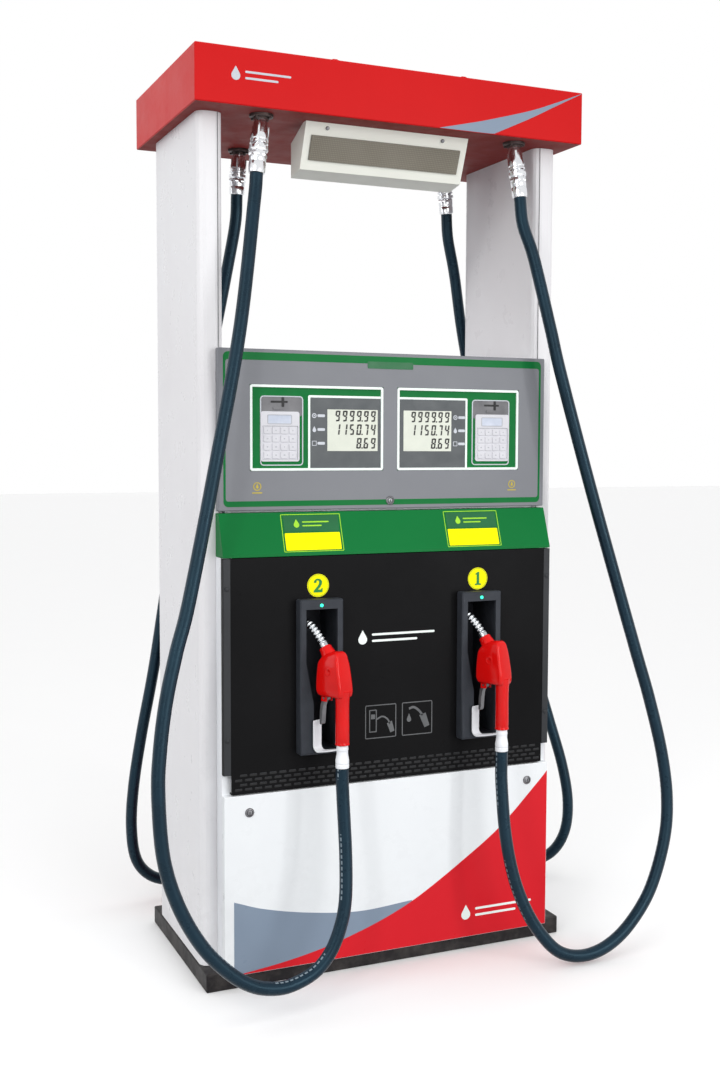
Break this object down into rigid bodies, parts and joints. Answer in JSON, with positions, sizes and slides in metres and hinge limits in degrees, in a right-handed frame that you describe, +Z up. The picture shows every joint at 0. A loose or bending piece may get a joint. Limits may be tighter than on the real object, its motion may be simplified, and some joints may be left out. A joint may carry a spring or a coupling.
{
  "type": "fuel dispenser",
  "caption": "Two-sided floor-standing fuel dispenser with side columns, a canopy, displays with keypads, nozzles in boots, and overhead hoses.",
  "frame": {"origin": "centre of the base's footprint, on the surface that the dispenser stands on", "axes": "+Z up; -Y out of the front face, the one with the lamp; +X to the right of somebody who faces that front"},
  "size_m": [1.4458, 0.9442, 2.25],
  "materials": {
    "base": "satin black",
    "column_paint": "satin off-white",
    "canopy_paint": "gloss red",
    "lamp_shell": "weathered pale gray",
    "lamp_window": "smoked",
    "cabinet_paint": "satin off-white",
    "pump_metal": "rough cast",
    "control_plastic": "gray",
    "bezel_paint": "satin green",
    "panel_paint": "satin black",
    "lower_paint": "satin off-white with swooshes",
    "door_paint": "satin gray",
    "display_face": "satin green with dark displays",
    "lock_chrome": "worn",
    "key_rubber": "matt",
    "boot_plastic": "dark gray",
    "hose_rubber": "dark blue-black",
    "nozzle_red": "red cover over a cast body",
    "spout_metal": "ringed and worn",
    "guard_plastic": "white",
    "fitting_chrome": "polished"
  },
  "bodies": {
    "cabinet": {"base_frame": "base", "left_column": "column_paint", "right_column": "column_paint", "canopy_shell": "canopy_paint", "canopy_tray": "canopy_paint", "lamp_housing": "lamp_shell", "lamp_lens": "lamp_window", "head_case": "cabinet_paint", "cabinet_frame": "cabinet_paint", "pump_unit": "pump_metal", "motor": "pump_metal", "control_box": "control_plastic", "bezel_front": "bezel_paint", "nozzle_panel_front": "panel_paint", "boot_front_left": "boot_plastic", "hose_front_left": "hose_rubber", "boot_front_right": "boot_plastic", "hose_front_right": "hose_rubber", "bezel_back": "bezel_paint", "nozzle_panel_back": "panel_paint", "boot_back_left": "boot_plastic", "hose_back_left": "hose_rubber", "boot_back_right": "boot_plastic", "hose_back_right": "hose_rubber"},
    "display_door_front": {"display_door_front": "door_paint", "display_plate_front": "display_face"},
    "door_lock_front": {"door_lock_front": "lock_chrome"},
    "lower_panel_front": {"lower_panel_front": "lower_paint"},
    "keypad_front_left": {"keypad_front_left": "key_rubber"},
    "panel_lock_front_left": {"panel_lock_front_left": "lock_chrome"},
    "nozzle_front_left": {"nozzle_body_front_left": "nozzle_red", "nozzle_spout_front_left": "spout_metal", "nozzle_guard_front_left": "guard_plastic"},
    "lever_front_left": {"nozzle_lever_front_left": "spout_metal"},
    "breakaway_front_left": {"breakaway_front_left": "fitting_chrome"},
    "keypad_front_right": {"keypad_front_right": "key_rubber"},
    "panel_lock_front_right": {"panel_lock_front_right": "lock_chrome"},
    "nozzle_front_right": {"nozzle_body_front_right": "nozzle_red", "nozzle_spout_front_right": "spout_metal", "nozzle_guard_front_right": "guard_plastic"},
    "lever_front_right": {"nozzle_lever_front_right": "spout_metal"},
    "breakaway_front_right": {"breakaway_front_right": "fitting_chrome"},
    "display_door_back": {"display_door_back": "door_paint", "display_plate_back": "display_face"},
    "door_lock_back": {"door_lock_back": "lock_chrome"},
    "lower_panel_back": {"lower_panel_back": "lower_paint"},
    "keypad_back_left": {"keypad_back_left": "key_rubber"},
    "panel_lock_back_left": {"panel_lock_back_left": "lock_chrome"},
    "nozzle_back_left": {"nozzle_body_back_left": "nozzle_red", "nozzle_spout_back_left": "spout_metal", "nozzle_guard_back_left": "guard_plastic"},
    "lever_back_left": {"nozzle_lever_back_left": "spout_metal"},
    "breakaway_back_left": {"breakaway_back_left": "fitting_chrome"},
    "keypad_back_right": {"keypad_back_right": "key_rubber"},
    "panel_lock_back_right": {"panel_lock_back_right": "lock_chrome"},
    "nozzle_back_right": {"nozzle_body_back_right": "nozzle_red", "nozzle_spout_back_right": "spout_metal", "nozzle_guard_back_right": "guard_plastic"},
    "lever_back_right": {"nozzle_lever_back_right": "spout_metal"},
    "breakaway_back_right": {"breakaway_back_right": "fitting_chrome"}
  },
  "joints": [
    {"name": "display_door_front_lift", "type": "hinge", "parent": "cabinet", "child": "display_door_front", "pos_m": [0, -0.2055, 1.562], "axis": [-1, 0, 0], "range_deg": [0, 20]},
    {"name": "door_lock_front_turn", "type": "hinge", "parent": "display_door_front", "child": "door_lock_front", "pos_m": [0, -0.229, 1.191], "axis": [0, -1, 0], "range_deg": [0, 90]},
    {"name": "lower_panel_front_tip", "type": "hinge", "parent": "cabinet", "child": "lower_panel_front", "pos_m": [0, -0.268, 0.035], "axis": [1, 0, 0], "range_deg": [0, 10]},
    {"name": "keypad_front_left_press", "type": "slide", "parent": "display_door_front", "child": "keypad_front_left", "axis": [0, 1, 0], "range_m": [0, 0.0015], "stiffness_N_per_m": 800},
    {"name": "panel_lock_front_left_turn", "type": "hinge", "parent": "lower_panel_front", "child": "panel_lock_front_left", "pos_m": [-0.388, -0.268, 0.438], "axis": [0, -1, 0], "range_deg": [0, 90]},
    {"name": "nozzle_front_left_out", "type": "slide", "parent": "cabinet", "child": "nozzle_front_left", "axis": [0.4067, -0.9135, 0], "range_m": [0, 0.2]},
    {"name": "lever_front_left_squeeze", "type": "hinge", "parent": "nozzle_front_left", "child": "lever_front_left", "pos_m": [-0.21365, -0.3375, 0.72], "axis": [-0.9135, -0.4067, 0], "range_deg": [0, 25], "stiffness_Nm_per_rad": 1.5},
    {"name": "breakaway_front_left_spin", "type": "hinge", "parent": "cabinet", "child": "breakaway_front_left", "pos_m": [-0.33983, -0.22183, 2.10394], "axis": [-0.1279, -0.1279, -0.9835], "continuous": true},
    {"name": "keypad_front_right_press", "type": "slide", "parent": "display_door_front", "child": "keypad_front_right", "axis": [0, 1, 0], "range_m": [0, 0.0015], "stiffness_N_per_m": 800},
    {"name": "panel_lock_front_right_turn", "type": "hinge", "parent": "lower_panel_front", "child": "panel_lock_front_right", "pos_m": [0.388, -0.268, 0.438], "axis": [0, -1, 0], "range_deg": [0, 90]},
    {"name": "nozzle_front_right_out", "type": "slide", "parent": "cabinet", "child": "nozzle_front_right", "axis": [0.4067, -0.9135, 0], "range_m": [0, 0.2]},
    {"name": "lever_front_right_squeeze", "type": "hinge", "parent": "nozzle_front_right", "child": "lever_front_right", "pos_m": [0.22335, -0.3375, 0.72], "axis": [-0.9135, -0.4067, 0], "range_deg": [0, 25], "stiffness_Nm_per_rad": 1.5},
    {"name": "breakaway_front_right_spin", "type": "hinge", "parent": "cabinet", "child": "breakaway_front_right", "pos_m": [0.35185, -0.22698, 2.10386], "axis": [0.0593, -0.1384, -0.9886], "continuous": true},
    {"name": "display_door_back_lift", "type": "hinge", "parent": "cabinet", "child": "display_door_back", "pos_m": [0, 0.2055, 1.562], "axis": [1, 0, 0], "range_deg": [0, 12]},
    {"name": "door_lock_back_turn", "type": "hinge", "parent": "display_door_back", "child": "door_lock_back", "pos_m": [0, 0.229, 1.191], "axis": [0, 1, 0], "range_deg": [0, 90]},
    {"name": "lower_panel_back_tip", "type": "hinge", "parent": "cabinet", "child": "lower_panel_back", "pos_m": [0, 0.268, 0.035], "axis": [-1, 0, 0], "range_deg": [0, 10]},
    {"name": "keypad_back_left_press", "type": "slide", "parent": "display_door_back", "child": "keypad_back_left", "axis": [0, -1, 0], "range_m": [0, 0.0015], "stiffness_N_per_m": 800},
    {"name": "panel_lock_back_left_turn", "type": "hinge", "parent": "lower_panel_back", "child": "panel_lock_back_left", "pos_m": [0.388, 0.268, 0.438], "axis": [0, 1, 0], "range_deg": [0, 90]},
    {"name": "nozzle_back_left_out", "type": "slide", "parent": "cabinet", "child": "nozzle_back_left", "axis": [-0.4067, 0.9135, 0], "range_m": [0, 0.2]},
    {"name": "lever_back_left_squeeze", "type": "hinge", "parent": "nozzle_back_left", "child": "lever_back_left", "pos_m": [0.21365, 0.3375, 0.72], "axis": [0.9135, 0.4067, 0], "range_deg": [0, 25], "stiffness_Nm_per_rad": 1.5},
    {"name": "breakaway_back_left_spin", "type": "hinge", "parent": "cabinet", "child": "breakaway_back_left", "pos_m": [0.35383, 0.18641, 2.10389], "axis": [0.1283, 0.0987, -0.9868], "continuous": true},
    {"name": "keypad_back_right_press", "type": "slide", "parent": "display_door_back", "child": "keypad_back_right", "axis": [0, -1, 0], "range_m": [0, 0.0015], "stiffness_N_per_m": 800},
    {"name": "panel_lock_back_right_turn", "type": "hinge", "parent": "lower_panel_back", "child": "panel_lock_back_right", "pos_m": [-0.388, 0.268, 0.438], "axis": [0, 1, 0], "range_deg": [0, 90]},
    {"name": "nozzle_back_right_out", "type": "slide", "parent": "cabinet", "child": "nozzle_back_right", "axis": [-0.4067, 0.9135, 0], "range_m": [0, 0.2]},
    {"name": "lever_back_right_squeeze", "type": "hinge", "parent": "nozzle_back_right", "child": "lever_back_right", "pos_m": [-0.22335, 0.3375, 0.72], "axis": [0.9135, 0.4067, 0], "range_deg": [0, 25], "stiffness_Nm_per_rad": 1.5},
    {"name": "breakaway_back_right_spin", "type": "hinge", "parent": "cabinet", "child": "breakaway_back_right", "pos_m": [-0.27243, 0.166, 2.10374], "axis": [-0.0299, 0.0698, -0.9971], "continuous": true}
  ]
}
